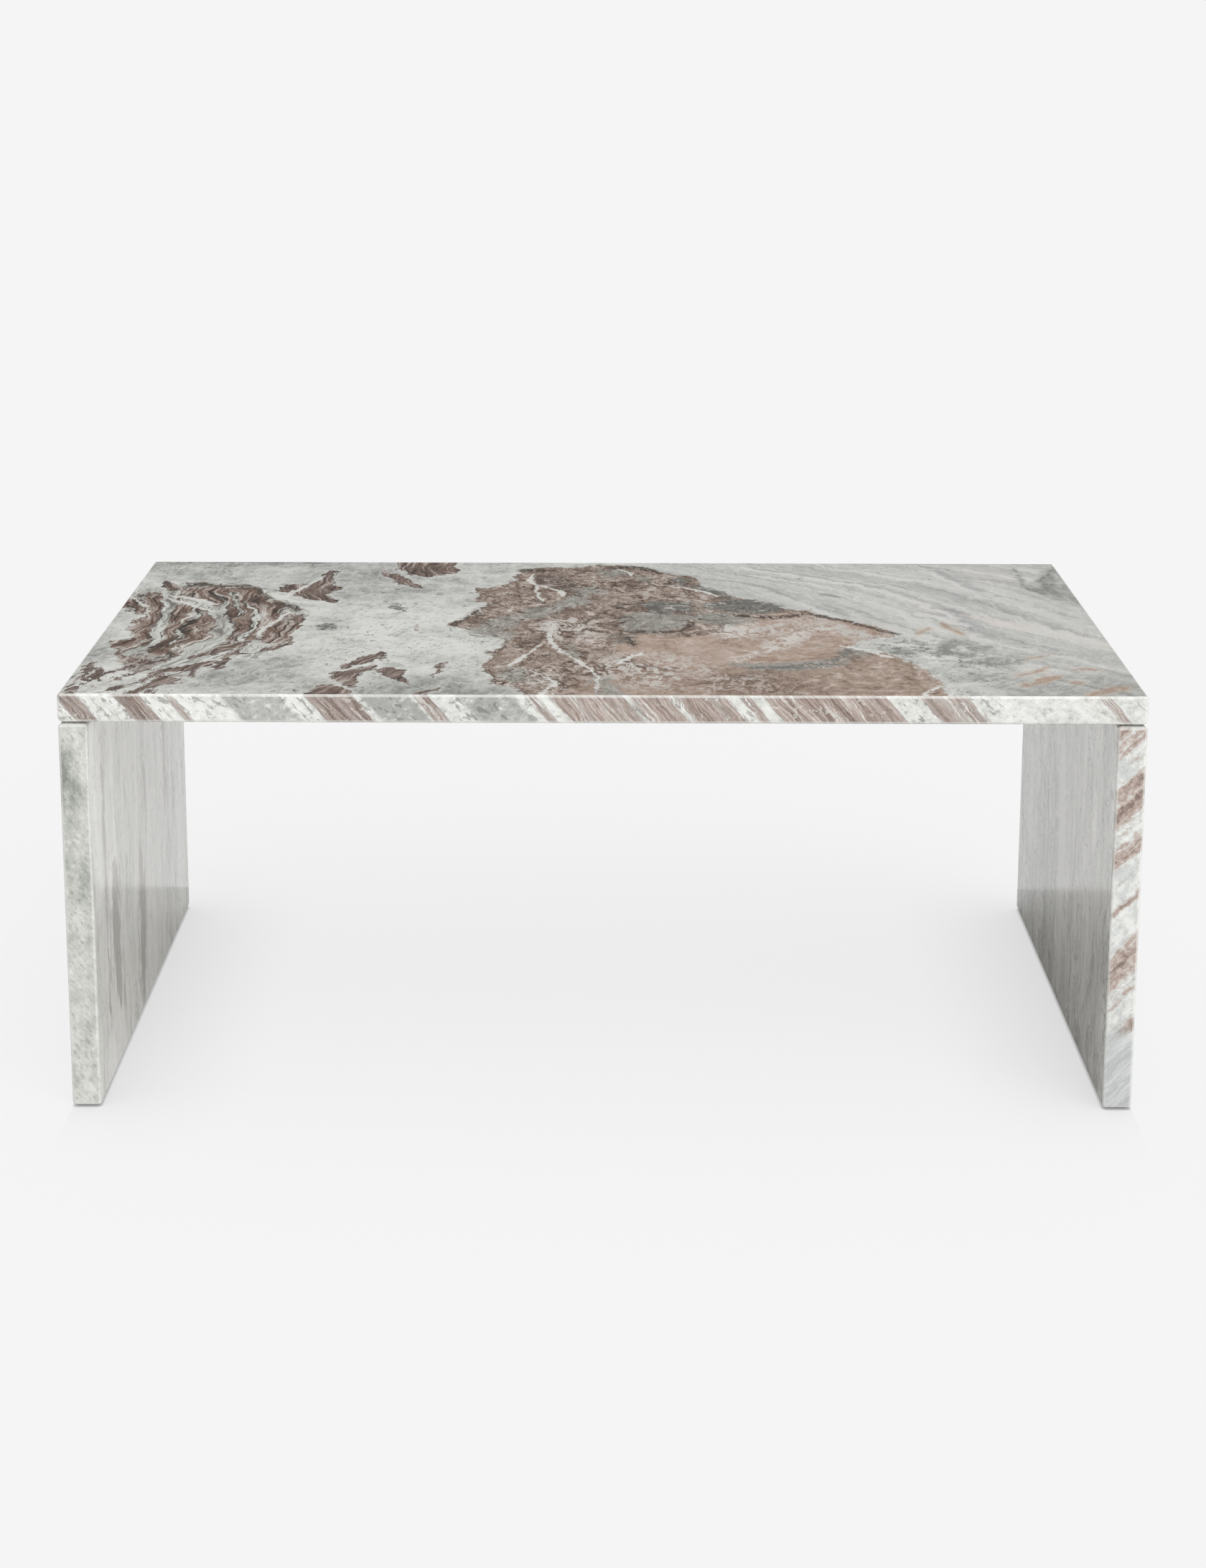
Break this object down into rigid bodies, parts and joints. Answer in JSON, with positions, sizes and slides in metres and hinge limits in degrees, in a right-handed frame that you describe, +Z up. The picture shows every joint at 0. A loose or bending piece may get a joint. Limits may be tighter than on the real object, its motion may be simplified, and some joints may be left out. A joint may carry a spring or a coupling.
{
  "type": "marble coffee table",
  "caption": "Low rectangular coffee table with a polished, eased-edge marble top bonded and dowelled to upright slab legs of the same stone",
  "frame": {"origin": "centre of the table's footprint on the floor, level with the undersides of the foot pads", "axes": "+X along the length, to the right as pictured; +Y from the pictured long side to the back; +Z up"},
  "size_m": [1.1, 0.6, 0.445],
  "materials": {
    "marble": "polished, pale grey with brown and white veining",
    "resin": "matt dark grey stone adhesive",
    "dowel_steel": "ground stainless steel",
    "foot_pad": "dense grey felt"
  },
  "bodies": {
    "root": {"tabletop": "marble", "left_leg": "marble", "left_resin_bed": "resin", "left_front_dowel": "dowel_steel", "left_middle_dowel": "dowel_steel", "left_rear_dowel": "dowel_steel", "left_front_foot_pad": "foot_pad", "left_middle_foot_pad": "foot_pad", "left_rear_foot_pad": "foot_pad", "right_leg": "marble", "right_resin_bed": "resin", "right_front_dowel": "dowel_steel", "right_middle_dowel": "dowel_steel", "right_rear_dowel": "dowel_steel", "right_front_foot_pad": "foot_pad", "right_middle_foot_pad": "foot_pad", "right_rear_foot_pad": "foot_pad"}
  },
  "joints": []
}
